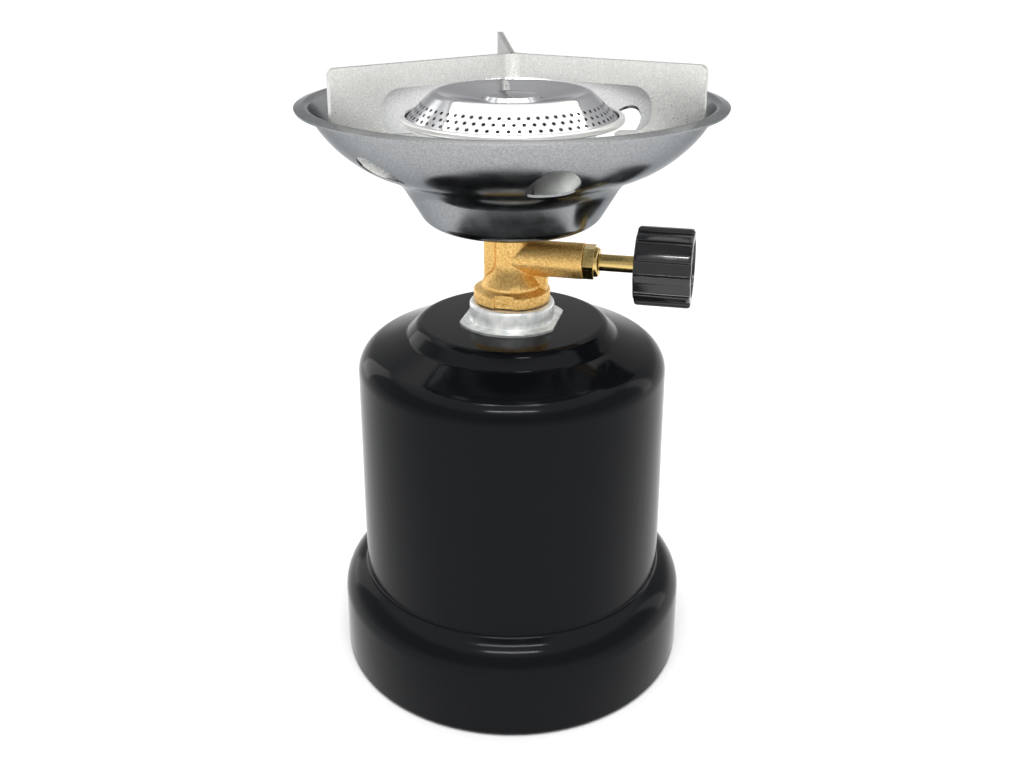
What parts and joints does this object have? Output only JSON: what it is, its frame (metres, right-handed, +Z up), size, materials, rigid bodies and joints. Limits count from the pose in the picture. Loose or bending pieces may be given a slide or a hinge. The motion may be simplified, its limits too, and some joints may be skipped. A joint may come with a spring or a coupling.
{
  "type": "camping stove",
  "caption": "Portable gas burner: a steel housing holds a pierced cartridge, a screw-on brass valve with side knob carries a dished bowl, perforated burner and folded pot support.",
  "frame": {"origin": "middle of the base ring on the ground", "axes": "+Z up through the housing, cartridge and burner; +X along the valve's control arm towards the knob"},
  "size_m": [0.1223, 0.1224, 0.1889],
  "materials": {
    "black_enamel": "semi-gloss black enamel",
    "zinc_plate": "dull zinc plating",
    "plain_steel": "turned",
    "can_paint": "plain lacquer",
    "black_rubber": "matt",
    "raw_brass": "sand-blasted forging",
    "turned_brass": "turned",
    "bright_nickel": "bright plating",
    "satin_nickel": "satin plating",
    "black_plastic": "glossy"
  },
  "bodies": {
    "housing": {"housing_shell": "black_enamel", "threaded_collar": "zinc_plate", "threaded_bush": "plain_steel"},
    "base": {"base_plate": "black_enamel", "gas_cartridge": "can_paint"},
    "gasket_carrier": {"sealing_gasket": "black_rubber"},
    "burner_head": {"valve_body": "raw_brass", "piercing_pin": "plain_steel", "gas_filter": "turned_brass", "injector_jet": "turned_brass", "gland_packing": "black_rubber", "gland_nut": "turned_brass", "bowl": "bright_nickel", "bowl_washer": "zinc_plate", "bowl_lock_nut": "turned_brass", "mixing_tube": "plain_steel", "burner_pan": "bright_nickel", "burner_cap": "bright_nickel", "support_plate_1": "satin_nickel", "support_plate_2": "satin_nickel", "support_plate_3": "satin_nickel"},
    "stem_seal": {"stem_o_ring": "black_rubber"},
    "control_stem": {"control_spindle": "turned_brass", "knob": "black_plastic"}
  },
  "joints": [
    {"name": "base_twist", "type": "hinge", "parent": "housing", "child": "base", "pos_m": [0, 0, 0.002], "axis": [0, 0, 1], "range_deg": [-35, 0]},
    {"name": "burner_climb", "type": "slide", "parent": "housing", "child": "gasket_carrier", "axis": [0, 0, 1], "range_m": [0, 0.01]},
    {"name": "burner_turn", "type": "hinge", "parent": "gasket_carrier", "child": "burner_head", "pos_m": [0, 0, 0.11], "axis": [0, 0, 1], "range_deg": [0, 1800]},
    {"name": "stem_travel", "type": "slide", "parent": "burner_head", "child": "stem_seal", "axis": [1, 0, 0], "range_m": [0, 0.0015]},
    {"name": "knob_turn", "type": "hinge", "parent": "stem_seal", "child": "control_stem", "pos_m": [0.03, 0, 0.1292], "axis": [1, 0, 0], "range_deg": [0, 720]}
  ],
  "couplings": [
    {"joint": "burner_turn", "follows": "burner_climb", "rad_per_m": 3141.6},
    {"joint": "knob_turn", "follows": "stem_travel", "rad_per_m": 8377.6}
  ]
}
